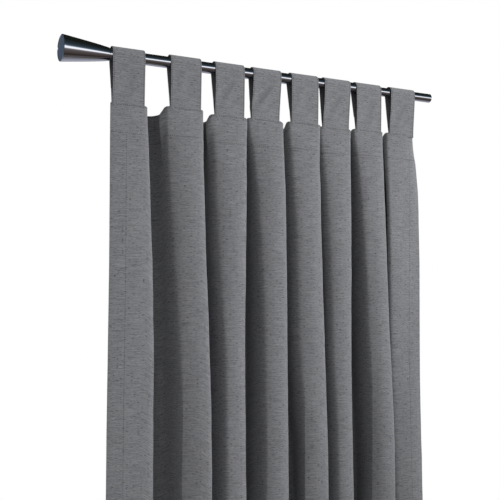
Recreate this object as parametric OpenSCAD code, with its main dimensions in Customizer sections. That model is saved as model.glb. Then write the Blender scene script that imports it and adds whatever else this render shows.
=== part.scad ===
// Tab-top curtain panel on a telescopic chrome pole with a flared finial.
// Frame: X runs along the pole, +Z is up, the room is on the -Y side.
// Origin: on the pole's axis, where the finial's neck ends.

/* [Pole] */
// Outside diameter of the outer tube
outer_d = 22; // [20:0.5:22]
// Outside diameter of the inner tube
inner_d = 19; // [15:0.5:19]
// Wall of both tubes
tube_wall = 1; // [0.8:0.1:1.2]
// Where the outer tube ends, from the origin
outer_end_x = 581; // [520:1:600]
// Where the inner tube ends, from the origin
inner_end_x = 748; // [715:1:900]
// Length of the inner tube
inner_len = 660; // [560:10:680]

/* [Finial] */
// Length from the flat end to the end of the neck
finial_len = 91; // [70:1:110]
// Diameter of the flared mouth
mouth_d = 50; // [44:1:60]
// Diameter at the end of the neck
neck_d = 24.6; // [24:0.2:28]
// Depth of the socket that takes the outer tube
socket_depth = 22; // [15:1:30]
// Wall at the mouth
mouth_wall = 1.6; // [1.2:0.1:2.5]
// Thickness of the disc in the mouth
disc_t = 2; // [1:0.5:4]

/* [Tabs] */
// Width of a tab
tab_w = 63.5; // [50:0.5:76]
// Thickness of a tab, which is a strip sewn double
tab_t = 1.4; // [1:0.1:2]
// Height from the pole's axis down to the seam between tab and header
tab_drop = 93; // [70:1:120]
// Distance from the end of the neck to the middle of the first tab
first_tab_x = 36; // [34:1:40]
// Clearance between a tab and the outer tube
tab_gap = 0.3; // [0.2:0.1:1]

/* [Cloth] */
// Overall length of the panel, from the top of the tabs to the hem
panel_len = 1600; // [1372:1:2413]
// Cloth between the edges of two neighbouring tabs, measured flat
spare_cloth = 116; // [110:1:130]
// Thickness of one layer of cloth
cloth_t = 1; // [0.6:0.1:1.4]
// How far the front of the header lies in front of the pole's axis
header_y = 8; // [0:1:12]
// Depth of the header facing
facing_h = 57; // [40:1:60]
// Width of the hem down each side
side_hem_w = 33; // [25:1:40]
// Height of the bottom hem
bottom_hem_h = 76; // [50:1:102]

/* [Hidden] */
$fn = 96;

// Distances between the middles of neighbouring tabs, as the curtain hangs half gathered
pitches = [116, 94, 84, 88, 80, 79, 90];
// Middle of tab k, counted from 1
function tab_x(k) = first_tab_x + (k > 1 ? sum_to(pitches, k - 2) : 0);
function sum_to(list, last) = last < 0 ? 0 : list[last] + sum_to(list, last - 1);

// Radius of the middle of the tab's cloth over the pole
loop_r = outer_d / 2 + tab_gap + tab_t / 2;
// Half the distance between the two legs of a tab at its seam
leg_half = 1.2;
// Highest and lowest levels of the cloth
header_z = -tab_drop;
hem_z = loop_r + tab_t / 2 - panel_len;
// The header hangs lower between two tabs
header_sag = 9;
// Front of a pleat: a little wider than its tab, with rounded corners
pleat_w = tab_w + 3;
pleat_r = 6;
// How far back the side walls of a pleat run, and their spread as a share of the space
wall_depth = 30;
wall_spread = 0.1;
// Cut between a pleat's round corner and its wall
wall_cut = 0.3;
// Clearance between a pleat's wall and the fold behind it
fold_gap = 0.4;
// Half the width of a fold's round back
fold_back = 4;
// Layers behind the front of a pleat
facing_t = 0.8;
hem_t = 1.2;
seam_allowance = 1;
// Blank label, sewn to the back of the left side hem
label_size = [24, 0.4, 46];
label_up = 160;
// Grub screw of the finial
screw_d = 4;
screw_x = -11;
hex_key = 2;

// --- shared shapes ---

// Unit normal of the line from a to b
function line_normal(a, b) = [a[1] - b[1], b[0] - a[0]] / norm(b - a);
// Mitred normal at point i of a path
function path_normal(p, i) =
    i == 0 ? line_normal(p[0], p[1]) :
    i == len(p) - 1 ? line_normal(p[i - 1], p[i]) :
    let (m = line_normal(p[i - 1], p[i]) + line_normal(p[i], p[i + 1])) 2 * m / (m * m);

// Strip of cloth of thickness t whose middle follows the path p
module strip(p, t) {
    side_a = [for (i = [0:len(p) - 1]) p[i] + path_normal(p, i) * t / 2];
    side_b = [for (i = [len(p) - 1:-1:0]) p[i] - path_normal(p, i) * t / 2];
    polygon(concat(side_a, side_b));
}

// Points on a circle of radius r about c, from angle a to angle b
function arc(c, r, a, b, steps) =
    [for (i = [0:steps]) let (w = a + (b - a) * i / steps) c + r * [cos(w), sin(w)]];

// Upright block of cloth between two heights
module upright(z_low, z_high) {
    translate([0, 0, z_low]) linear_extrude(z_high - z_low) children();
}

// --- pole ---

module tube_along_x(x0, x1, d) {
    translate([x0, 0, 0]) rotate([0, 90, 0]) difference() {
        cylinder(h = x1 - x0, d = d);
        translate([0, 0, -1]) cylinder(h = x1 - x0 + 2, d = d - 2 * tube_wall);
    }
}

module pole_outer_tube() {
    color("silver") tube_along_x(0.5 - socket_depth, outer_end_x, outer_d);
}

module pole_inner_tube() {
    color("gainsboro") tube_along_x(inner_end_x - inner_len, inner_end_x, inner_d);
}

// --- finial ---

// Outside radius of the finial at a share u of its length from the mouth
function finial_r(u) = mouth_d / 2 - (mouth_d - neck_d) / 2 * (0.9 * u + 0.1 * pow(u, 4));
finial_steps = 28;

module finial_body() {
    cavity_end = 1 - (socket_depth + 4) / finial_len;
    outside = [for (i = [0:finial_steps]) let (u = i / finial_steps)
        [finial_r(u), u * finial_len]];
    inside = [for (i = [0:finial_steps]) let (u = cavity_end * (1 - i / finial_steps))
        [finial_r(u) - mouth_wall, u * finial_len]];
    color("silver") translate([-finial_len, 0, 0]) rotate([0, 90, 0]) difference() {
        rotate_extrude() polygon(concat(outside, [[0, finial_len],
            [0, cavity_end * finial_len]], inside));
        translate([0, 0, finial_len - socket_depth])
            cylinder(h = socket_depth + 1, d = outer_d + 0.1);
        translate([0, 0, finial_len + screw_x]) rotate([-90, 0, 0])
            cylinder(h = mouth_d, d = screw_d);
    }
}

module finial_end_disc() {
    color("lightsteelblue") translate([-finial_len, 0, 0]) rotate([0, 90, 0])
        cylinder(h = disc_t, r = finial_r(disc_t / finial_len) - mouth_wall - 0.05);
}

module finial_grub_screw() {
    tip = outer_d / 2 + 0.05;
    head = finial_r(1 + screw_x / finial_len) - 0.3;
    color("dimgray") translate([screw_x, 0, 0]) rotate([-90, 0, 0]) difference() {
        translate([0, 0, tip]) cylinder(h = head - tip, d = screw_d - 0.1);
        translate([0, 0, head - 1.5]) cylinder(h = 2, d = hex_key / cos(30), $fn = 6);
    }
}

// --- tabs ---

// Side view of a tab in the YZ plane: up from the seam, over the pole and down again
module tab_outline() {
    front_end = [-header_y - leg_half, header_z];
    back_end = [-header_y + leg_half, header_z];
    front_a = atan2(front_end[1], front_end[0]) - acos(loop_r / norm(front_end)) + 360;
    back_a = atan2(back_end[1], back_end[0]) + acos(loop_r / norm(back_end));
    strip(concat([front_end], arc([0, 0], loop_r, front_a, back_a, 28), [back_end]), tab_t);
}

module tab(k) {
    color("dimgray") translate([tab_x(k) - tab_w / 2, 0, 0]) rotate([90, 0, 90])
        linear_extrude(tab_w) tab_outline();
}

// --- panel ---

// Space between the pleats under tab k and tab k + 1
function space(k) = pitches[k - 1] - pleat_w;
function spread(k) = wall_spread * space(k);
function left_edge(k) = tab_x(k) - pleat_w / 2;
function right_edge(k) = tab_x(k) + pleat_w / 2;

// Plan of the pleat under tab k: a flat front with a wall running back at each fold.
// A wall is cut from the front by a hair, so that each has its own shape for contact.
module pleat_outline(k) {
    front = -header_y;
    left = k == 1 ? [[left_edge(k), front]] :
        arc([left_edge(k) + pleat_r, front + pleat_r], pleat_r, 180, 270, 3);
    right = k == 8 ? [[right_edge(k), front]] :
        arc([right_edge(k) - pleat_r, front + pleat_r], pleat_r, 270, 360, 3);
    strip(concat(left, right), cloth_t);
    if (k > 1) wall(left_edge(k), left_edge(k) - spread(k - 1));
    if (k < 8) wall(right_edge(k), right_edge(k) + spread(k));
}

// Plan of a wall that runs back from x0 at the front to x1
module wall(x0, x1) {
    strip([[x0, -header_y + pleat_r + wall_cut], [x1, -header_y + wall_depth]], cloth_t);
}

module panel_pleat(k) {
    color("gray") upright(hem_z, header_z) pleat_outline(k);
}

// Plan of the fold between tab k and tab k + 1: it closes the two walls at the back
module fold_outline(k) {
    x0 = right_edge(k) + spread(k);
    x1 = left_edge(k + 1) - spread(k);
    mid = (x0 + x1) / 2;
    start = wall_depth - header_y + fold_gap;
    half = (pitches[k - 1] - tab_w) / 2;
    back = sqrt(pow(spare_cloth / 2, 2) - pow(half, 2)) - header_y;
    strip(concat([[x0, start]], arc([mid, back - fold_back], fold_back, 180, 0, 6),
        [[x1, start]]), cloth_t);
}

module panel_fold(k) {
    color("dimgray") upright(hem_z, header_z - header_sag) fold_outline(k);
}

// --- hems, facing and label ---

// Flat layer of thickness t behind the pleat under tab k, a given number of layers back
module backing(k, x0, x1, y0, t, z_low, z_high) {
    upright(z_low, z_high) translate([x0, y0]) square([x1 - x0, t]);
}

back_face = -header_y + cloth_t / 2;

module header_facing(k) {
    color("gray") backing(k, left_edge(k) + pleat_r + seam_allowance,
        right_edge(k) - pleat_r - seam_allowance, back_face, facing_t,
        header_z - facing_h, header_z - seam_allowance);
}

module bottom_hem(k) {
    color("gray") backing(k, left_edge(k) + pleat_r + seam_allowance,
        right_edge(k) - pleat_r - seam_allowance, back_face, hem_t,
        hem_z, hem_z + bottom_hem_h);
}

module side_hem(x0) {
    color("gray") upright(hem_z + bottom_hem_h, header_z - facing_h)
        translate([x0, back_face]) square([side_hem_w, hem_t]);
}

module side_hem_left() {
    side_hem(left_edge(1));
}

module side_hem_right() {
    side_hem(right_edge(8) - side_hem_w);
}

module care_label() {
    color("white") translate([left_edge(1) + side_hem_w - label_size[0] - 2,
        back_face + hem_t, hem_z + bottom_hem_h + label_up]) cube(label_size);
}

pole_outer_tube();
pole_inner_tube();
finial_body();
finial_end_disc();
finial_grub_screw();
tab(1);  // tab_1
tab(2);  // tab_2
tab(3);  // tab_3
tab(4);  // tab_4
tab(5);  // tab_5
tab(6);  // tab_6
tab(7);  // tab_7
tab(8);  // tab_8
panel_pleat(1);  // panel_pleat_1
panel_pleat(2);  // panel_pleat_2
panel_pleat(3);  // panel_pleat_3
panel_pleat(4);  // panel_pleat_4
panel_pleat(5);  // panel_pleat_5
panel_pleat(6);  // panel_pleat_6
panel_pleat(7);  // panel_pleat_7
panel_pleat(8);  // panel_pleat_8
panel_fold(1);  // panel_fold_1
panel_fold(2);  // panel_fold_2
panel_fold(3);  // panel_fold_3
panel_fold(4);  // panel_fold_4
panel_fold(5);  // panel_fold_5
panel_fold(6);  // panel_fold_6
panel_fold(7);  // panel_fold_7
header_facing(1);  // header_facing_1
header_facing(2);  // header_facing_2
header_facing(3);  // header_facing_3
header_facing(4);  // header_facing_4
header_facing(5);  // header_facing_5
header_facing(6);  // header_facing_6
header_facing(7);  // header_facing_7
header_facing(8);  // header_facing_8
bottom_hem(1);  // bottom_hem_1
bottom_hem(2);  // bottom_hem_2
bottom_hem(3);  // bottom_hem_3
bottom_hem(4);  // bottom_hem_4
bottom_hem(5);  // bottom_hem_5
bottom_hem(6);  // bottom_hem_6
bottom_hem(7);  // bottom_hem_7
bottom_hem(8);  // bottom_hem_8
side_hem_left();
side_hem_right();
care_label();
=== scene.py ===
"""A tab-top curtain panel that hangs in soft pleats from a telescopic chrome pole."""
import math

import bmesh
import bpy
import numpy as np
from mathutils import Matrix, Vector, noise


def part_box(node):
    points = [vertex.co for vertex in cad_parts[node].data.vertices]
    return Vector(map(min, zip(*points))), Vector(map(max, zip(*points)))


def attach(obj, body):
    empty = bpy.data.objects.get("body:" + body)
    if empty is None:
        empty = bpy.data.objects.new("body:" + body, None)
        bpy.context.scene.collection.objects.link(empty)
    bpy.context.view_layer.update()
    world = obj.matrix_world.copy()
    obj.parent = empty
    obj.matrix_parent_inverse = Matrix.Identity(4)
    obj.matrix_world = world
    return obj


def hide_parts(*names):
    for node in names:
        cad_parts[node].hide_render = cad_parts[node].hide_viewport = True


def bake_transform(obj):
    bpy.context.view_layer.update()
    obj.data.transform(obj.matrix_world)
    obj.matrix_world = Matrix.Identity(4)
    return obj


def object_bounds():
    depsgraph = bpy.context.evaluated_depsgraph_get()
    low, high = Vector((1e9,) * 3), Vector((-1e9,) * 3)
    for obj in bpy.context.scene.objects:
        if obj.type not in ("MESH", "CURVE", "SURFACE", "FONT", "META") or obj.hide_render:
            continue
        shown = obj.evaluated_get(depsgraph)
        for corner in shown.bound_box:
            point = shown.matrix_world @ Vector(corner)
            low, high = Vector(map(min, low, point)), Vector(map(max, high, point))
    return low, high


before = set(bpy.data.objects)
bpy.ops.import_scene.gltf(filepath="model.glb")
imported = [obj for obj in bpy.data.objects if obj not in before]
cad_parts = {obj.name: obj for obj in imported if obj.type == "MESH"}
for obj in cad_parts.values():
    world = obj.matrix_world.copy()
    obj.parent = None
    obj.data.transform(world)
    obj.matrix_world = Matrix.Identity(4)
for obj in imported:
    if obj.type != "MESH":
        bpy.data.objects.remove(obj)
cad_low, cad_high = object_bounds()

# ---------------------------------------------------------------------------
# Pole, outer tube: 22 mm steel tube, bright chrome plated, cut square and
# lightly deburred at both ends. It carries the finial and the first tabs.
# ---------------------------------------------------------------------------
MM = 0.001


def linear(hex_colour):
    """An sRGB hex colour, such as "8A8B8D", as linear RGBA."""
    srgb = [int(hex_colour[i:i + 2], 16) / 255 for i in (0, 2, 4)]
    return [c / 12.92 if c <= 0.04045 else ((c + 0.055) / 1.055) ** 2.4 for c in srgb] + [1.0]


def node(tree, kind, settings, inputs):
    """Adds a node, gives it its settings, and sets or links its inputs."""
    new = tree.nodes.new(kind)
    for name, value in settings.items():
        setattr(new, name, value)
    for name, value in inputs.items():
        if isinstance(value, bpy.types.NodeSocket):
            tree.links.new(value, new.inputs[name])
        else:
            new.inputs[name].default_value = value
    return new


def new_material(name):
    """A material with an empty node tree."""
    material = bpy.data.materials.new(name)
    material.use_nodes = True
    material.node_tree.nodes.clear()
    return material


def chrome_plate():
    """Bright chrome plate over polished steel: a near mirror with a faint haze from handling."""
    material = new_material("bright_chrome_plate")
    tree = material.node_tree
    place = node(tree, "ShaderNodeTexCoord", {}, {}).outputs["Object"]
    haze = node(tree, "ShaderNodeTexNoise", {}, {"Vector": place, "Scale": 35.0, "Detail": 4.0})
    rough = node(tree, "ShaderNodeMapRange", {}, {
        "Value": haze.outputs["Fac"], "To Min": 0.05, "To Max": 0.11})
    polish = node(tree, "ShaderNodeMapping", {}, {"Vector": place, "Scale": (40.0, 2500.0, 2500.0)})
    lines = node(tree, "ShaderNodeTexNoise", {}, {"Vector": polish.outputs[0], "Scale": 1.0, "Detail": 2.0})
    bump = node(tree, "ShaderNodeBump", {}, {
        "Height": lines.outputs["Fac"], "Strength": 0.03, "Distance": 0.0001})
    surface = node(tree, "ShaderNodeBsdfPrincipled", {}, {
        "Base Color": linear("C8CBD0"), "Metallic": 1.0, "Roughness": rough.outputs[0],
        "Normal": bump.outputs[0]})
    node(tree, "ShaderNodeOutputMaterial", {}, {"Surface": surface.outputs[0]})
    return material


def turned(name, outline, material):
    """A piece turned about the X axis from a closed outline of (x, radius) points in metres."""
    bm = bmesh.new()
    ring = [bm.verts.new((x, 0.0, radius)) for x, radius in outline]
    edges = [bm.edges.new((a, b)) for a, b in zip(ring, ring[1:] + ring[:1])]
    bmesh.ops.spin(bm, geom=ring + edges, cent=(0, 0, 0), axis=(1, 0, 0), angle=math.tau, steps=96,
                   use_merge=True, use_duplicate=False)
    bmesh.ops.remove_doubles(bm, verts=bm.verts, dist=1e-6)
    bmesh.ops.dissolve_degenerate(bm, edges=bm.edges, dist=1e-7)
    bmesh.ops.recalc_face_normals(bm, faces=bm.faces)
    return finished(name, bm, material)


def finished(name, bm, *materials):
    """Makes a smooth-shaded object of a bmesh, with creases sharper than 35 degrees kept."""
    mesh = bpy.data.meshes.new(name)
    bm.to_mesh(mesh)
    bm.free()
    piece = bpy.data.objects.new(name, mesh)
    bpy.context.scene.collection.objects.link(piece)
    for material in materials:
        mesh.materials.append(material)
    mesh.shade_smooth()
    mesh.set_sharp_from_angle(angle=math.radians(35))
    return piece


def tube_outline(x0, x1, radius, wall):
    """The outline of a tube's wall, with a small chamfer at both ends."""
    chamfer = 0.3 * MM
    return [(x0, radius - chamfer), (x0 + chamfer, radius), (x1 - chamfer, radius), (x1, radius - chamfer),
            (x1, radius - wall), (x0, radius - wall)]


chrome = chrome_plate()
tube_wall = 1.0 * MM
outer_low, outer_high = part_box("pole_outer_tube")
pole_radius = outer_high.z
outer_tube = turned("outer_tube", tube_outline(outer_low.x, outer_high.x, pole_radius, tube_wall), chrome)
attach(outer_tube, "pole")
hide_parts("pole_outer_tube")

# ---------------------------------------------------------------------------
# Pole, inner tube: 19 mm steel tube that slides inside the outer one, plated
# the same. Its plain cut end shows beyond the last tab.
# ---------------------------------------------------------------------------
inner_low, inner_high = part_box("pole_inner_tube")
inner_tube = turned("inner_tube", tube_outline(inner_low.x, inner_high.x, inner_high.z, tube_wall), chrome)
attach(inner_tube, "pole_extension")
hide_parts("pole_inner_tube")

# ---------------------------------------------------------------------------
# Finial: a hollow trumpet turned from brass and chrome plated, with a socket
# for the tube, a satin enamelled disc in its mouth and a grub screw behind.
# ---------------------------------------------------------------------------


def satin_enamel():
    """Stoved enamel in a dull blue grey: an even satin film that shows only a soft reflection."""
    material = new_material("satin_blue_grey_enamel")
    tree = material.node_tree
    place = node(tree, "ShaderNodeTexCoord", {}, {}).outputs["Object"]
    peel = node(tree, "ShaderNodeTexNoise", {}, {"Vector": place, "Scale": 900.0, "Detail": 2.0})
    tint = node(tree, "ShaderNodeTexNoise", {}, {"Vector": place, "Scale": 30.0})
    shade = node(tree, "ShaderNodeValToRGB", {}, {"Fac": tint.outputs["Fac"]})
    shade.color_ramp.elements[0].color = linear("62738B")
    shade.color_ramp.elements[1].color = linear("6A7C94")
    bump = node(tree, "ShaderNodeBump", {}, {
        "Height": peel.outputs["Fac"], "Strength": 0.02, "Distance": 0.0001})
    surface = node(tree, "ShaderNodeBsdfPrincipled", {}, {
        "Base Color": shade.outputs[0], "Roughness": 0.55, "IOR": 1.5, "Specular IOR Level": 0.1,
        "Normal": bump.outputs[0]})
    node(tree, "ShaderNodeOutputMaterial", {}, {"Surface": surface.outputs[0]})
    return material


def black_oxide():
    """Blackened screw steel: dark, slightly oily, with worn metal underneath."""
    material = new_material("black_oxide_steel")
    tree = material.node_tree
    place = node(tree, "ShaderNodeTexCoord", {}, {}).outputs["Object"]
    wear = node(tree, "ShaderNodeTexNoise", {}, {"Vector": place, "Scale": 800.0, "Detail": 3.0})
    shade = node(tree, "ShaderNodeValToRGB", {}, {"Fac": wear.outputs["Fac"]})
    shade.color_ramp.elements[0].color = linear("2A2B2C")
    shade.color_ramp.elements[1].color = linear("4A4B4D")
    surface = node(tree, "ShaderNodeBsdfPrincipled", {}, {
        "Base Color": shade.outputs[0], "Metallic": 0.8, "Roughness": 0.42})
    node(tree, "ShaderNodeOutputMaterial", {}, {"Surface": surface.outputs[0]})
    return material


finial_low, finial_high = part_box("finial_body")
finial_len = finial_high.x - finial_low.x
mouth_radius = finial_high.z
neck_radius = 12.3 * MM
socket_depth = 22 * MM
socket_radius = pole_radius + 0.05 * MM
rim_wall = 1.6 * MM
disc_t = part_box("finial_end_disc")[1].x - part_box("finial_end_disc")[0].x


def flare(u):
    """Outside radius of the finial at a share u of its length from the mouth."""
    return mouth_radius - (mouth_radius - neck_radius) * (0.9 * u + 0.1 * u ** 4)


steps, rim = 40, 0.012
shares = [rim + (1 - rim) * i / steps for i in range(steps + 1)]
cavity = 1 - (socket_depth + 4 * MM) / finial_len
outline = [(finial_low.x, flare(0) - 1.1 * MM), (finial_low.x + 0.3 * MM, flare(0) - 0.4 * MM)]
outline += [(finial_low.x + u * finial_len, flare(u)) for u in shares[:-1]]
outline += [(finial_high.x - 0.4 * MM, neck_radius), (finial_high.x, neck_radius - 0.4 * MM)]
outline += [(finial_high.x, socket_radius), (finial_high.x - socket_depth, socket_radius),
            (finial_high.x - socket_depth, 0.5 * MM), (finial_low.x + cavity * finial_len, 0.5 * MM)]
outline += [(finial_low.x + cavity * u * finial_len, flare(cavity * u) - rim_wall) for u in reversed(shares)]
trumpet = turned("finial_trumpet", outline, chrome)

disc_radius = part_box("finial_end_disc")[1].z
face_x = finial_low.x + 0.2 * MM
dome = [(face_x + 0.5 * MM * (i / 12) ** 2, max(disc_radius * i / 12 * 0.97, 0.05 * MM)) for i in range(13)]
back = [(face_x + 0.9 * MM, disc_radius), (face_x + disc_t, disc_radius), (face_x + disc_t, 0.05 * MM)]
end_disc = turned("finial_end_disc_enamelled", dome + back, satin_enamel())

screw_low, screw_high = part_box("finial_grub_screw")
screw_bm = bmesh.new()
screw_radius = (screw_high.x - screw_low.x) / 2
screw_middle = (screw_low + screw_high) / 2
bmesh.ops.create_cone(screw_bm, cap_ends=True, segments=32, radius1=screw_radius, radius2=screw_radius,
                      depth=screw_high.y - screw_low.y)
head = max(screw_bm.faces, key=lambda f: f.calc_center_median().z)
bmesh.ops.inset_region(screw_bm, faces=[head], thickness=0.8 * MM)
socket = bmesh.ops.extrude_discrete_faces(screw_bm, faces=[head])["faces"]
bmesh.ops.translate(screw_bm, verts=socket[0].verts[:], vec=(0, 0, -1.4 * MM))
bmesh.ops.bevel(screw_bm, geom=[e for e in screw_bm.edges if e.calc_face_angle(0) > 1.2], offset=0.12 * MM,
                affect="EDGES", segments=2, profile=0.5, material=-1)
bmesh.ops.transform(screw_bm, verts=screw_bm.verts,
                    matrix=Matrix.Translation(screw_middle) @ Matrix.Rotation(-math.pi / 2, 4, "X"))
bmesh.ops.recalc_face_normals(screw_bm, faces=screw_bm.faces)
grub_screw = finished("grub_screw", screw_bm, black_oxide())
for piece, cad_node, slot in ((trumpet, "finial_body", "chrome"), (end_disc, "finial_end_disc", "end_disc"),
                              (grub_screw, "finial_grub_screw", "screw")):
    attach(piece, "finial")
    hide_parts(cad_node)

# ---------------------------------------------------------------------------
# The panel: one width of heavy slubbed cloth, hung half gathered. Between two
# tabs 116 mm of cloth swings back into a fold and comes forward again. Each
# row of the cloth keeps its cut length, so every fold is as deep as it must be.
# ---------------------------------------------------------------------------
TABS = 8
tab_boxes = [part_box(f"tab_{k + 1}") for k in range(TABS)]
tab_x = [(low.x + high.x) / 2 / MM for low, high in tab_boxes]
tab_w = (tab_boxes[0][1].x - tab_boxes[0][0].x) / MM
header_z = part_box("panel_pleat_1")[1].z / MM
hem_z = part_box("panel_pleat_1")[0].z / MM
drop = header_z - hem_z
# The front hangs this far before the pole's axis, with this much cloth between two tabs and past the end ones
front_y = -10.0
spare = 116.0
repeat = tab_w + spare
left_end = 35.0
right_end = 50.0
cloth_t = 0.9

# Levels below the header. The next tables give what each pleat does at these levels
levels = (0, 35, 252, 466, 656, 1494)
# Right corner of pleats 1 to 7, past the edge of the tab above
right_corner = ((5, 8, 19, 23, 22, 22), (5, 7, 16, 23, 28, 29), (8, 9, 10, 8, 6, 7), (10, 12, 16, 18, 18, 20),
                (7, 6, 16, 25, 26, 27), (6, 6, 5, 4, 2, 3), (5, 7, 17, 22, 28, 29))
# Left corner of pleats 2 to 8, past the edge of the tab above
left_corner = ((-8, -9, 8, 23, 33, 32), (-8, -4, 4, 21, 19, 20), (-7, 3, 16, 22, 28, 25),
               (-6, -4, 13, 15, 38, 30), (-6, -3, 8, 13, 25, 20), (-6, 3, 20, 23, 39, 33),
               (-7, -12, -6, 5, 14, 15))
# Which way the middle of each front faces, in degrees: more than 0 is turned to the right
facing = ((0, 0, 0, 0, 0, 0), (0, -2, -15, -20, -27, -22), (0, -1, -13, -10, -6, -8),
          (0, -11, -17, -18, -23, -18), (0, 0, -12, -21, -28, -22), (0, 0, -10, -12, -16, -13),
          (0, 1, -16, -25, -38, -30), (0, 3, 10, 3, -10, -6))
# How far the right side of each front has turned to the right where the corner starts
roll_right = ((4, 6, 14, 8, 8, 8), (5, 9, 22, 10, 8, 8)) + 5 * ((5, 10, 30, 38, 30, 24),)
# How far the left side of each front has turned to the left where the corner ends
roll_left = 6 * ((4, 22, 36, 38, 38, 34),) + ((4, 4, 2, 12, 16, 14),)
# How far back each front hangs
recess = ((0, 0, 0, 0, 0, 0), (0, 0, 2, 3, 3, 3), (0, 0, 0, 0, -1, 0), (0, 0, 1, 2, 2, 1), (0, 0, 0, 0, 0, 0),
          (0, 0, 1, 3, 4, 4), (0, 0, 0, -1, -1, 0), (0, 0, 3, 6, 7, 6))
# Length of cloth in the turns at the right corner, the back and the left corner
turn_lengths = ((24, 64, 14), (28, 44, 24), (28, 36, 16), (28, 40, 24), (28, 34, 24), (28, 36, 14),
                (28, 36, 16))
# How far the tabs and the header under them have slid to one side
lean = (0, 0, 0, -4, 0, -4, 0, -4)
# Length of cloth in a turn at the header, and how far the header sags between two tabs
header_turn = 14.0
header_sag = 11.0
# How far each tab's seam has ridden up
rise = (1.0, 6.0, 0.0, 1.0, 3.0, 0.0, 3.0, 3.0)

# Rows down the cloth, closer together in the header, and places along one repeat of it
header_depth = 100
rows = np.concatenate([np.arange(0, header_depth, 5.0), np.linspace(header_depth, drop, 141)])
cloth_s = np.linspace(0, repeat, 73)


def down(values):
    """Spreads values given at the levels over the rows, and rounds them off between the levels."""
    spacing, reach, margin, header_end = 5.0, 12, 200, 60
    fine = np.arange(-margin, drop + margin, spacing)
    line = np.interp(fine, levels, values)
    for _ in range(3):
        blur = np.ones(2 * reach + 1) / (2 * reach + 1)
        line = np.convolve(np.pad(line, reach, mode="edge"), blur, mode="valid")
    start = np.clip(rows / header_end, 0, 1)
    return np.interp(rows, fine, line) * start + values[0] * (1 - start)


def sway(seed, reach, size):
    """A slow wander down the cloth, nought at the header and whole at half a metre below it."""
    wave = np.sin(rows / reach + 2.1 * seed) + 0.6 * np.sin(rows / reach / 0.43 + 3.7 * seed)
    return size * (wave - wave[0]) * np.clip(rows / 500, 0, 1)


def ease(s, middle, width):
    """Rises from 0 to 1 over width, with no kink at either end."""
    t = np.clip((s - middle) / width + 0.5, 0, 1)
    return t * t * (3 - 2 * t)


def headings(walls, starts, ends, corners, turns):
    """Which way the cloth heads along one row: 0 is along the pole and 90 degrees straight back."""
    (right, left), (there, back) = corners, walls
    path = starts[0] + (starts[1] - starts[0]) * np.clip(cloth_s / right, 0, 1) ** 1.3
    path = path + (there - path) * ease(cloth_s, right, turns[0])
    path = path + (-back - path) * ease(cloth_s, (right + left) / 2, turns[1])
    ahead = ends[1] - (ends[0] + ends[1]) * np.clip((repeat - cloth_s) / (repeat - left), 0, 1) ** 1.1
    return path + (ahead - path) * ease(cloth_s, left, turns[2])


def travel(s, path):
    """Running sum of a heading's two parts along the row, in mm."""
    middle, ds = (path[1:] + path[:-1]) / 2, np.diff(s)
    return np.stack([np.append(0, np.cumsum(part(middle) * ds)) for part in (np.cos, np.sin)], 1)


def fold_row(target, walls, *shape):
    """Plan of one row of a fold that ends at target, by Newton's method on the headings of its two walls."""
    nudge, close_enough, longest_step = 1e-5, 1e-4, 0.3
    for _ in range(12):
        miss = travel(cloth_s, headings(walls, *shape))[-1] - target
        if np.abs(miss).max() < close_enough:
            break
        slope = [(travel(cloth_s, headings(walls + d, *shape))[-1] - target - miss) / nudge
                 for d in np.eye(2) * nudge]
        walls = walls - np.clip(np.linalg.solve(np.stack(slope, 1), miss), -longest_step, longest_step)
    return travel(cloth_s, headings(walls, *shape)), walls


# Shares that start at the header and end some way below it: the tabs' slide, their rise and the sharp turns
settle = 1 - ease(rows, 75, 150)
held_up = np.clip(1 - rows / 450, 0, 1)
soften = np.clip(rows / 90, 0, 1)
pleat_x = [tab_x[k] + lean[k] * settle + sway(k, 260, 1.4) for k in range(TABS)]
pleat_y = [front_y + down(recess[k]) + sway(k + 11, 300, 1.2) for k in range(TABS)]
turned_by = [np.radians(down(facing[k])) for k in range(TABS)]
# Nought at the middle of a tab and 1 in the fold between two tabs
slack = ease(cloth_s, tab_w / 2 + 12, 24) * (1 - ease(cloth_s, repeat - tab_w / 2 - 17, 26))

end_s = np.linspace(0, 1, 13)
strips, places = [], []


def end_strip(k, length, curls):
    """The cloth from the middle of an end tab to its free edge; curls is how far that edge has turned."""
    strip = []
    for i, curl in enumerate(curls):
        plan = travel(end_s * abs(length), turned_by[k][i] + curl * end_s ** 2)
        level = header_z - rows[i] + rise[k] * held_up[i]
        strip.append(np.column_stack([pleat_x[k][i] + math.copysign(1, length) * plan[:, 0],
                                      pleat_y[k][i] + plan[:, 1], np.full(len(end_s), level)]))
    return np.stack(strip)


# Turn of the free edges in degrees: the same all the way down on the left, given at the levels on the right
left_curl, right_curl = 6, (78, 42, -4, 4, 36, 26)
strips.append(end_strip(0, -left_end, np.radians(np.full(len(rows), left_curl)))[:, :0:-1])
places.append(-left_end * end_s[:0:-1])
for k in range(TABS - 1):
    right = down(right_corner[k]) + tab_w / 2 + 1
    left = down(left_corner[k]) + repeat - tab_w / 2 - 1
    rolls = np.radians(down(roll_right[k])), np.radians(down(roll_left[k]))
    risen = rise[k] + (rise[k + 1] - rise[k]) * ease(cloth_s, repeat / 2, repeat - tab_w)
    first, back, last = turn_lengths[k]
    walls, strip = np.array([1.4, 1.4]), []
    for i in range(len(rows)):
        turns = (header_turn + (first - header_turn) * soften[i], back,
                 header_turn + (last - header_turn) * soften[i])
        target = np.array([pleat_x[k + 1][i] - pleat_x[k][i], pleat_y[k + 1][i] - pleat_y[k][i]])
        plan, walls = fold_row(target, walls, (turned_by[k][i], rolls[0][i]),
                               (rolls[1][i], turned_by[k + 1][i]), (right[i], left[i]), turns)
        strip.append(np.column_stack([pleat_x[k][i] + plan[:, 0], pleat_y[k][i] + plan[:, 1],
                                      header_z - rows[i] - header_sag * slack + risen * held_up[i]]))
    strips.append(np.stack(strip)[:, :-1])
    places.append(k * repeat + cloth_s[:-1])
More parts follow.
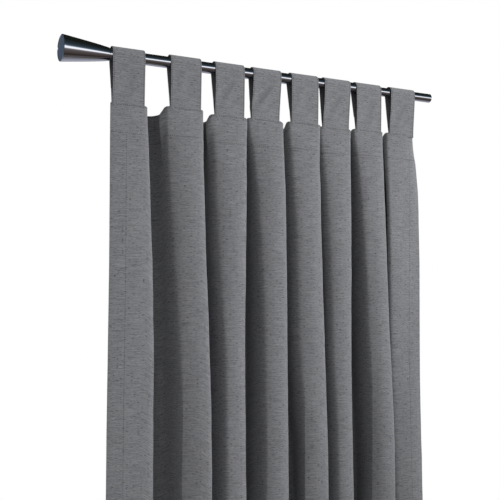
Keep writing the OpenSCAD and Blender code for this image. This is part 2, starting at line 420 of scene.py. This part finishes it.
strips.append(end_strip(TABS - 1, right_end, np.radians(down(right_curl))))
places.append((TABS - 1) * repeat + end_s * right_end)

cloth_u = np.concatenate(places)
cloth_p = np.concatenate(strips, axis=1)


def normals(grid):
    """Unit normals of the cloth, towards its back."""
    across = np.gradient(grid, axis=1)
    along = np.gradient(grid, axis=0)
    across_to_back = np.cross(across, along)
    return across_to_back / np.linalg.norm(across_to_back, axis=2, keepdims=True)


# Ripples of two sizes, each given by its width and height on the cloth and its share
ripple = np.array([[sum(share * noise.noise(Vector((u / wide, v / high, seed)))
                        for wide, high, share, seed in ((52, 85, 1.0, 3.0), (21, 34, 0.5, 9.0)))
                    for u in cloth_u] for v in rows])
ripple_depth = 0.8 * np.clip(rows / 80, 0.15, 1)[:, None]
cloth_p = cloth_p + normals(cloth_p) * (ripple * ripple_depth)[:, :, None]

# Small gathers under the header, where the facing's seam bunches the cloth: bay, place along it, height
gathers = ((0, 131, 8.5), (0, 118, -3.0), (1, 134, 6.5), (1, 123, -2.5), (3, 130, 2.5), (4, 132, 2.5),
           (6, 130, 2.0))
gather_w, gather_level, gather_len = 4.5, 22, 45
for bay, place, height in gathers:
    ridge = np.exp(-((cloth_u - bay * repeat - place) / gather_w) ** 2)[None, :]
    fade = (np.exp(-((rows - gather_level) / gather_len) ** 2) * np.clip(rows / 10, 0, 1))[:, None]
    cloth_p = cloth_p - normals(cloth_p) * (height * ridge * fade)[:, :, None]
cloth_n = normals(cloth_p)


def folded(u, v, behind=0.0):
    """Where points u along and v down the flat cloth come to in metres, and the way its back faces."""
    i = np.clip(np.searchsorted(rows, v) - 1, 0, len(rows) - 2)
    j = np.clip(np.searchsorted(cloth_u, u) - 1, 0, len(cloth_u) - 2)
    a = ((v - rows[i]) / (rows[i + 1] - rows[i]))[:, None]
    b = ((u - cloth_u[j]) / (cloth_u[j + 1] - cloth_u[j]))[:, None]
    above, below = (((1 - b) * np.stack([cloth_p[row, j], cloth_n[row, j]])
                     + b * np.stack([cloth_p[row, j + 1], cloth_n[row, j + 1]])) for row in (i, i + 1))
    points, backs = (1 - a) * above + a * below
    return (points + backs * behind) * MM, backs


# At a scale of 1, one band of a wave texture is this wide
band = 0.314


def slub_weave():
    """Plain weave of heavy polyester with slubbed weft: short raised streaks across it, a few dark."""
    material = new_material("slubbed_plain_weave")
    tree = material.node_tree
    flat = node(tree, "ShaderNodeAttribute", {"attribute_name": "cloth"}, {}).outputs["Vector"]

    def streaks(length, height, detail, offset):
        stretched = node(tree, "ShaderNodeMapping", {}, {
            "Vector": flat, "Scale": (1 / length, 1 / height, 1.0), "Location": (offset, 0.0, 0.0)})
        return node(tree, "ShaderNodeTexNoise", {}, {
            "Vector": stretched.outputs[0], "Scale": 1.0, "Detail": detail, "Roughness": 0.55}).outputs["Fac"]

    slubs = streaks(34.0, 1.2, 2.0, 0.0)
    fine = streaks(5.0, 1.0, 1.0, 17.0)
    knots = streaks(7.0, 1.2, 0.0, 41.0)
    hairs = streaks(24.0, 0.9, 0.0, 73.0)
    clouds = streaks(60.0, 45.0, 2.0, 5.0)
    yarn = node(tree, "ShaderNodeMix", {"data_type": "FLOAT"}, {0: 0.4, 2: slubs, 3: fine})
    shade = node(tree, "ShaderNodeValToRGB", {}, {"Fac": yarn.outputs[0]})
    shade.color_ramp.elements[0].position, shade.color_ramp.elements[0].color = 0.38, linear("68696C")
    shade.color_ramp.elements[1].position, shade.color_ramp.elements[1].color = 0.62, linear("858689")
    toned = shade.outputs[0]
    for streak, low, high, depth in ((hairs, 0.63, 0.73, 0.40), (knots, 0.678, 0.742, 0.85)):
        dark = node(tree, "ShaderNodeMapRange", {}, {
            "Value": streak, "From Min": low, "From Max": high, "To Max": depth})
        toned = node(tree, "ShaderNodeMix", {"data_type": "RGBA"}, {
            0: dark.outputs[0], 6: toned, 7: linear("3A3B3D")}).outputs[2]
    worn = node(tree, "ShaderNodeMapRange", {}, {"Value": clouds, "To Min": 0.94, "To Max": 1.06})
    toned = node(tree, "ShaderNodeVectorMath", {"operation": "SCALE"}, {0: toned, "Scale": worn.outputs[0]})
    # Threads are drawn 0.9 mm apart, coarser than real, so that they show from close by
    threads = band / 0.9
    warp = node(tree, "ShaderNodeTexWave", {"bands_direction": "X"}, {"Vector": flat, "Scale": threads})
    weft = node(tree, "ShaderNodeTexWave", {"bands_direction": "Y"}, {"Vector": flat, "Scale": threads})
    weave = node(tree, "ShaderNodeMath", {"operation": "MULTIPLY"}, {
        0: warp.outputs["Fac"], 1: weft.outputs["Fac"]})
    relief = node(tree, "ShaderNodeMath", {"operation": "MULTIPLY_ADD"}, {
        0: weave.outputs[0], 1: 0.35, 2: yarn.outputs[0]})
    bump = node(tree, "ShaderNodeBump", {}, {
        "Height": relief.outputs[0], "Strength": 0.5, "Distance": 0.0006})
    surface = node(tree, "ShaderNodeBsdfPrincipled", {}, {
        "Base Color": toned.outputs[0], "Roughness": 0.92, "IOR": 1.5, "Specular IOR Level": 0.25,
        "Sheen Weight": 0.12, "Sheen Roughness": 0.5, "Normal": bump.outputs[0]})
    node(tree, "ShaderNodeOutputMaterial", {}, {"Surface": surface.outputs[0]})
    return material


def layer(name, u, v, behind, thickness, material, place=folded, fine=(2.5, 10.0)):
    """A closed layer of cloth: a flat grid over the spans u and v in mm, put in its place and thickened."""
    bm = bmesh.new()
    across, along = (max(2, round((span[1] - span[0]) / size)) for span, size in zip((u, v), fine))
    bmesh.ops.create_grid(bm, x_segments=across, y_segments=along, size=0.5)
    cloth = bm.verts.layers.float_vector.new("cloth")
    share = np.array([vert.co[:2] for vert in bm.verts]) + 0.5
    flat = np.array([u[0], v[0]]) + share * (u[1] - u[0], v[1] - v[0])
    points, backs = place(flat[:, 0], flat[:, 1], behind)
    front = points - backs * thickness / 2 * MM
    for vert, point, uv in zip(bm.verts, front, flat):
        vert.co = point
        vert[cloth] = (*uv, 0.0)
    bm.normal_update()
    middle = bm.faces[:][len(bm.faces) // 2]
    away = backs[middle.verts[0].index]
    if middle.normal.dot(Vector(away)) > 0:
        bmesh.ops.reverse_faces(bm, faces=bm.faces)
    bmesh.ops.solidify(bm, geom=bm.faces[:], thickness=thickness * MM)
    return finished(name, bm, material)


fabric = slub_weave()
facing_h, hem_h, side_hem_w = 57.0, 76.0, 33.0
u_right = (TABS - 1) * repeat
panel_end = u_right + right_end
bays = [("panel_left_edge", -left_end, 0.0)]
bays += [(f"panel_{k + 1}_{k + 2}", k * repeat, (k + 1) * repeat) for k in range(TABS - 1)]
bays += [("panel_right_edge", u_right, panel_end)]


def hang(piece, bay):
    """Bay 0 rides on the first pleat and bay 8 on the last; the others keep no parent and have their place
    baked into the mesh.
    """
    if bay in (0, TABS):
        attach(piece, f"pleat_{max(bay, 1)}")
    else:
        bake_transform(piece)


panels = []
for bay, (name, u0, u1) in enumerate(bays):
    piece = layer(name, (u0, u1), (0, drop), 0.0, cloth_t, fabric)
    panels.append(piece)

# ---------------------------------------------------------------------------
# Facing, hems: a strip of the same cloth behind the header, the cloth folded
# up twice along the bottom and in along both sides. All are topstitched.
# ---------------------------------------------------------------------------
facing_t, hem_t = 0.8, 1.0
behind_facing, behind_hem = cloth_t + 0.05, cloth_t + 0.15
facing_span, hem_span, side_span = (1, facing_h), (drop - hem_h, drop), (facing_h, drop - hem_h)
extras = [[] for _ in bays]
for bay, (name, u0, u1) in enumerate(bays):
    extras[bay] = [
        layer(name.replace("panel", "facing"), (u0, u1), facing_span, behind_facing, facing_t, fabric),
        layer(name.replace("panel", "hem"), (u0, u1), hem_span, behind_hem, hem_t, fabric)]
for bay, side, u0 in ((0, "left", -left_end), (TABS, "right", panel_end - side_hem_w)):
    extras[bay].append(layer(
        f"side_hem_{side}_fold", (u0, u0 + side_hem_w), side_span, behind_hem, hem_t, fabric))


def thread_and_pit_shade():
    """Spun polyester sewing thread, drawn near black: its own dark grey with painted shade of the stitch pits
    added, and a faint gloss along the ply.
    """
    material = new_material("spun_thread_and_painted_pit_shade")
    tree = material.node_tree
    place = node(tree, "ShaderNodeTexCoord", {}, {}).outputs["Object"]
    ply = node(tree, "ShaderNodeTexNoise", {}, {"Vector": place, "Scale": 1500.0})
    shade = node(tree, "ShaderNodeValToRGB", {}, {"Fac": ply.outputs["Fac"]})
    # Both stops are near black: painted shade that stands in for the shadow in the pits where the stitches
    # sink into the cloth
    shade.color_ramp.elements[0].color = linear("101112")
    shade.color_ramp.elements[1].color = linear("26272A")
    surface = node(tree, "ShaderNodeBsdfPrincipled", {}, {
        "Base Color": shade.outputs[0], "Roughness": 0.6, "IOR": 1.5, "Sheen Weight": 0.1})
    node(tree, "ShaderNodeOutputMaterial", {}, {"Surface": surface.outputs[0]})
    return material


thread = thread_and_pit_shade()
stitch_pitch, stitch_len, stitch_h = 4.0, 2.0, 0.5
# Stitches are drawn wider than the thread so that their near-black also paints the shade of the pits around
# them. The header seam, sewn through every layer, gets the widest row, which also paints the shadow line
# along the header's top edge; the other seams get a narrower one
header_stitch_w, other_stitch_w = 2.3, 1.6


def stitches(name, seams, in_front, place=folded):
    """Rows of stitches along straight lines on the flat cloth, each (u, v) to (u, v) and a width in mm."""
    bm = bmesh.new()
    for a, b, stitch_w in seams:
        a, b = np.array(a, float), np.array(b, float)
        count = int(np.linalg.norm(b - a) / stitch_pitch)
        for i in range(count):
            middle = a + (b - a) * (i + 0.5) / count
            reach = (b - a) / np.linalg.norm(b - a) * stitch_len / 2
            ends, backs = place(*np.array([middle - reach, middle + reach]).T, -in_front)
            ahead = Vector(ends[1] - ends[0]).normalized()
            back = Vector(backs[0]).normalized()
            across = ahead.cross(back).normalized()
            half_sizes = (ahead * stitch_len / 2, across * stitch_w / 2, back * stitch_h / 2)
            shape = (Matrix(half_sizes).transposed() * MM).to_4x4()
            centre = Matrix.Translation(Vector((ends[0] + ends[1]) / 2))
            bmesh.ops.create_icosphere(bm, subdivisions=1, radius=1.0, matrix=centre @ shape)
    return finished(name, bm, thread)


# How far each row of stitches runs from the edge that it holds
header_seam, hem_seam, side_seam = 2.2, 2.5, 2.0
for bay, (name, u0, u1) in enumerate(bays):
    seams = [((u0, v), (u1, v), width) for v, width in (
        (header_seam, header_stitch_w), (facing_h - hem_seam, other_stitch_w), (drop - hem_h + hem_seam, other_stitch_w))]
    if bay in (0, TABS):
        u = u0 + side_hem_w - side_seam if bay == 0 else u1 - side_hem_w + side_seam
        seams.append(((u, facing_h), (u, drop - hem_h), other_stitch_w))
    extras[bay].append(stitches(name.replace("panel", "stitches"), seams, cloth_t / 2))

# ---------------------------------------------------------------------------
# Label: a blank white satin ribbon, sewn by its top edge to the back of the
# left side hem.
# ---------------------------------------------------------------------------


def satin_ribbon():
    """Woven white polyester satin: a close weave with a soft gloss across the ribbon."""
    material = new_material("white_satin_ribbon")
    tree = material.node_tree
    flat = node(tree, "ShaderNodeAttribute", {"attribute_name": "cloth"}, {}).outputs["Vector"]
    ribs = node(tree, "ShaderNodeTexWave", {"bands_direction": "Y"}, {"Vector": flat, "Scale": band / 0.5})
    shade = node(tree, "ShaderNodeValToRGB", {}, {"Fac": ribs.outputs["Fac"]})
    shade.color_ramp.elements[0].color = linear("DEDDD8")
    shade.color_ramp.elements[1].color = linear("EEEDE9")
    bump = node(tree, "ShaderNodeBump", {}, {
        "Height": ribs.outputs["Fac"], "Strength": 0.3, "Distance": 0.0001})
    surface = node(tree, "ShaderNodeBsdfPrincipled", {}, {
        "Base Color": shade.outputs[0], "Roughness": 0.45, "IOR": 1.5, "Normal": bump.outputs[0]})
    node(tree, "ShaderNodeOutputMaterial", {}, {"Surface": surface.outputs[0]})
    return material


label_v = header_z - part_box("care_label")[1].z / MM
label_size = (24.0, 46.0)
label_u = side_hem_w - left_end - 2 - label_size[0]
label_t = 0.3
behind_label = behind_hem + hem_t + 0.1
label = layer("blank_label", (label_u, label_u + label_size[0]), (label_v, label_v + label_size[1]),
              behind_label, label_t, satin_ribbon(), fine=(3.0, 4.0))
extras[0].append(label)

for bay, panel in enumerate(panels):
    for piece in [panel] + extras[bay]:
        hang(piece, bay)
    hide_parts(f"panel_pleat_{max(bay, 1)}")
    if 0 < bay < TABS:
        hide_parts(f"panel_fold_{bay}")
    if bay > 0:
        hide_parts(f"header_facing_{bay}")
        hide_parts(f"bottom_hem_{bay}")
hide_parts("side_hem_left")
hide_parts("side_hem_right")
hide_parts("care_label")

# ---------------------------------------------------------------------------
# Tabs: strips of the cloth sewn double, 63.5 mm wide, looped over the pole and
# caught in the seam of the header. Their side edges are topstitched.
# ---------------------------------------------------------------------------
tab_t = 1.4
# The legs of a tab go down into the seam at seam_y, this far to either side of it and this deep
seam_y = front_y + 2.0
leg_half = 1.2
tuck = 6.0
loop_r = tab_boxes[0][1].z / MM - tab_t / 2
# How far the bunched seam allowances lift each tab off the top of the pole
lift = (3.4, 2.9, 1.9, 1.3, 0.7, 0.7, 0.0, 0.0)
# Soft creases in the front of each tab: place across, slant, depth in mm
creases = ((12, -0.10, 0.7), (-10, -0.20, 1.0), (2, -0.60, 2.2), (2, -0.70, 3.2),
           (-14, -0.15, 1.0), (4, -0.60, 2.0), (12, -0.20, 1.0), (4, -0.60, 1.8))
# A crease crosses its place at this depth under the pole, as a ridge with a shallower furrow to its left
crease_level, ridge_w, furrow_at, furrow_w, furrow_share = 45, 9, 16, 12, 0.6
# The legs bow out below this depth, most at the side edges
leg_top, edge_bow = 8, 0.9


def tab_path():
    """Side view of a tab's middle, (y, z) in mm: up from the seam in front, over the pole and down behind."""
    front, back = (np.array([seam_y + side * leg_half, header_z - tuck]) for side in (-1, 1))
    first = math.atan2(front[1], front[0]) - math.acos(loop_r / np.linalg.norm(front)) + math.tau
    last = math.atan2(back[1], back[0]) + math.acos(loop_r / np.linalg.norm(back))
    turn = np.linspace(first, last, 33)
    over = np.stack([loop_r * np.cos(turn), loop_r * np.sin(turn)], 1)
    return np.concatenate([[front], over, [back]])


side_view = tab_path()
walked = np.append(0, np.cumsum(np.linalg.norm(np.diff(side_view, axis=0), axis=1)))
tab_len = walked[-1]
for k in range(TABS):
    across_at, slant, depth = creases[k]

    def looped(u, v, behind=0.0):
        """Where points u across and v along this tab's flat strip come to, and the way its inside faces."""
        y, z = (np.interp(v, walked, side_view[:, i]) for i in (0, 1))
        dy, dz = (np.interp(v + 0.5, walked, side_view[:, i]) - np.interp(v - 0.5, walked, side_view[:, i])
                  for i in (0, 1))
        size = np.hypot(dy, dz)
        inward = np.stack([np.zeros(len(u)), dz / size, -dy / size], 1)
        fall = np.clip((loop_r - z) / (loop_r - header_z), 0, 1)
        leg = np.sin(np.pi * np.clip((-z - leg_top) / (-header_z - leg_top), 0, 1))
        crease = u - across_at - slant * (-z - crease_level)
        bow = edge_bow * (np.abs(u) / (tab_w / 2)) ** 2 + depth * np.exp(-(crease / ridge_w) ** 2)
        bow = bow - furrow_share * depth * np.exp(-((crease + furrow_at) / furrow_w) ** 2)
        bow = np.where(y < 0, bow, -0.5 * bow)
        z = z + lift[k] * np.clip((z + 20) / (loop_r + 20), 0, 1) ** 2 + rise[k] * fall ** 2
        x = tab_x[k] + u * (1 - 0.012 * leg) + lean[k] * ease(fall, 0.5, 1.0)
        return (np.stack([x, y - bow * leg, z], 1) + inward * behind) * MM, inward

    tab = layer(f"tab_strip_{k + 1}", (-tab_w / 2, tab_w / 2), (0, tab_len), 0.0, tab_t, fabric, looped,
                fine=(3.0, 2.5))
    edge = tab_w / 2 - 2.5
    tab_seams = [((x, 0), (x, tab_len), other_stitch_w) for x in (-edge, edge)]
    tab_thread = stitches(f"tab_stitches_{k + 1}", tab_seams, tab_t / 2, looped)
    for piece in (tab, tab_thread):
        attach(piece, f"pleat_{k + 1}")
    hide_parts(f"tab_{k + 1}")

# ---------------------------------------------------------------------------
# Studio: pale floor under the hem, a white surround, one large softbox to the
# right in front and another one behind.
# ---------------------------------------------------------------------------
floor_z = -2.05
floor_bm = bmesh.new()
bmesh.ops.create_circle(floor_bm, cap_ends=True, segments=96, radius=3.0,
                        matrix=Matrix.Translation((0.3, 0, floor_z)))
floor_paint = new_material("matt_pale_floor")
paint = node(floor_paint.node_tree, "ShaderNodeBsdfPrincipled", {}, {
    "Base Color": linear("EDEDEC"), "Roughness": 0.9})
node(floor_paint.node_tree, "ShaderNodeOutputMaterial", {}, {"Surface": paint.outputs[0]})
floor = finished("studio_floor", floor_bm, floor_paint)
floor.visible_glossy = False

world = bpy.data.worlds.new("studio")
bpy.context.scene.world = world
world.use_nodes = True
sky = world.node_tree
sky.nodes.clear()
ray = node(sky, "ShaderNodeLightPath", {}, {})
look = node(sky, "ShaderNodeTexCoord", {}, {})
way = node(sky, "ShaderNodeSeparateXYZ", {}, {0: look.outputs["Generated"]})
ahead_y = node(sky, "ShaderNodeMath", {"operation": "MULTIPLY"}, {0: way.outputs["Y"], 1: -1.0})
around = node(sky, "ShaderNodeMath", {"operation": "ARCTAN2"}, {0: way.outputs["Z"], 1: ahead_y.outputs[0]})
round_pole = node(sky, "ShaderNodeMapRange", {}, {
    "Value": around.outputs[0], "From Min": -math.pi, "From Max": math.pi})
room = node(sky, "ShaderNodeValToRGB", {}, {"Fac": round_pole.outputs[0]})
stops = room.color_ramp.elements
stops[0].position, stops[0].color = 0.0, linear("5A5A60")
stops[1].position, stops[1].color = 1.0, linear("2A2A2A")
# What the chrome reflects, by degrees above the horizon in front: a dim room, a bright strip, a dark ceiling
for degrees, shade in ((-160, "8E8F9A"), (-143, "9C9DA9"), (-118, "78767C"), (-97, "625F5F"), (-80, "45403D"),
                       (-65, "2A2322"), (-50, "443C3A"), (-32, "4C4544"), (-19, "645E5D"), (-14, "76747A"),
                       (-8, "F8F4F2"), (5, "F4F8FF"), (11, "66707A"), (20, "3A444C"), (35, "262E34"),
                       (50, "20272B"), (75, "141713"), (150, "1A1B1A")):
    stop = stops.new(degrees / 360 + 0.5)
    stop.color = linear(shade)
ambient = node(sky, "ShaderNodeBackground", {}, {"Color": linear("FFFFFF"), "Strength": 0.40})
mirror = node(sky, "ShaderNodeBackground", {}, {"Color": room.outputs[0], "Strength": 1.7})
white = node(sky, "ShaderNodeBackground", {}, {"Color": linear("FFFFFF"), "Strength": 1.0})
shiny = node(sky, "ShaderNodeMixShader", {}, {
    0: ray.outputs["Is Glossy Ray"], 1: ambient.outputs[0], 2: mirror.outputs[0]})
seen = node(sky, "ShaderNodeMixShader", {}, {
    0: ray.outputs["Is Camera Ray"], 1: shiny.outputs[0], 2: white.outputs[0]})
node(sky, "ShaderNodeOutputWorld", {}, {"Surface": seen.outputs[0]})


def softbox(name, place, aim, size, watts, spread=180):
    """A square softbox that faces aim, with a grid that narrows its spread. The chrome doesn't show it."""
    lamp = bpy.data.lights.new(name, "AREA")
    lamp.shape, lamp.size, lamp.energy, lamp.spread = "SQUARE", size, watts, math.radians(spread)
    holder = bpy.data.objects.new(name, lamp)
    bpy.context.scene.collection.objects.link(holder)
    holder.visible_glossy = False
    holder.location = place
    holder.rotation_euler = (Vector(aim) - Vector(place)).to_track_quat("-Z", "Y").to_euler()


middle_x = (cad_low[0] + cad_high[0]) / 2
softbox("key_softbox", (middle_x + 2.7, -2.3, 0.95), (middle_x + 0.06, 0, -0.24), 1.2, 15.5, spread=52)
softbox("back_fill", (middle_x - 0.5, 3.2, 0.8), (middle_x, 0, -0.75), 2.0, 45)

camera = bpy.data.cameras.new("camera")
camera.sensor_width = 36
camera.lens = 64.8
eye = bpy.data.objects.new("camera", camera)
bpy.context.scene.collection.objects.link(eye)
eye.location = (-0.5242, -1.5803, -0.4817)
eye.rotation_euler = (math.radians(94.06), 0, math.radians(-27.42))
bpy.context.scene.camera = eye
bpy.context.scene.view_settings.view_transform = "Standard"
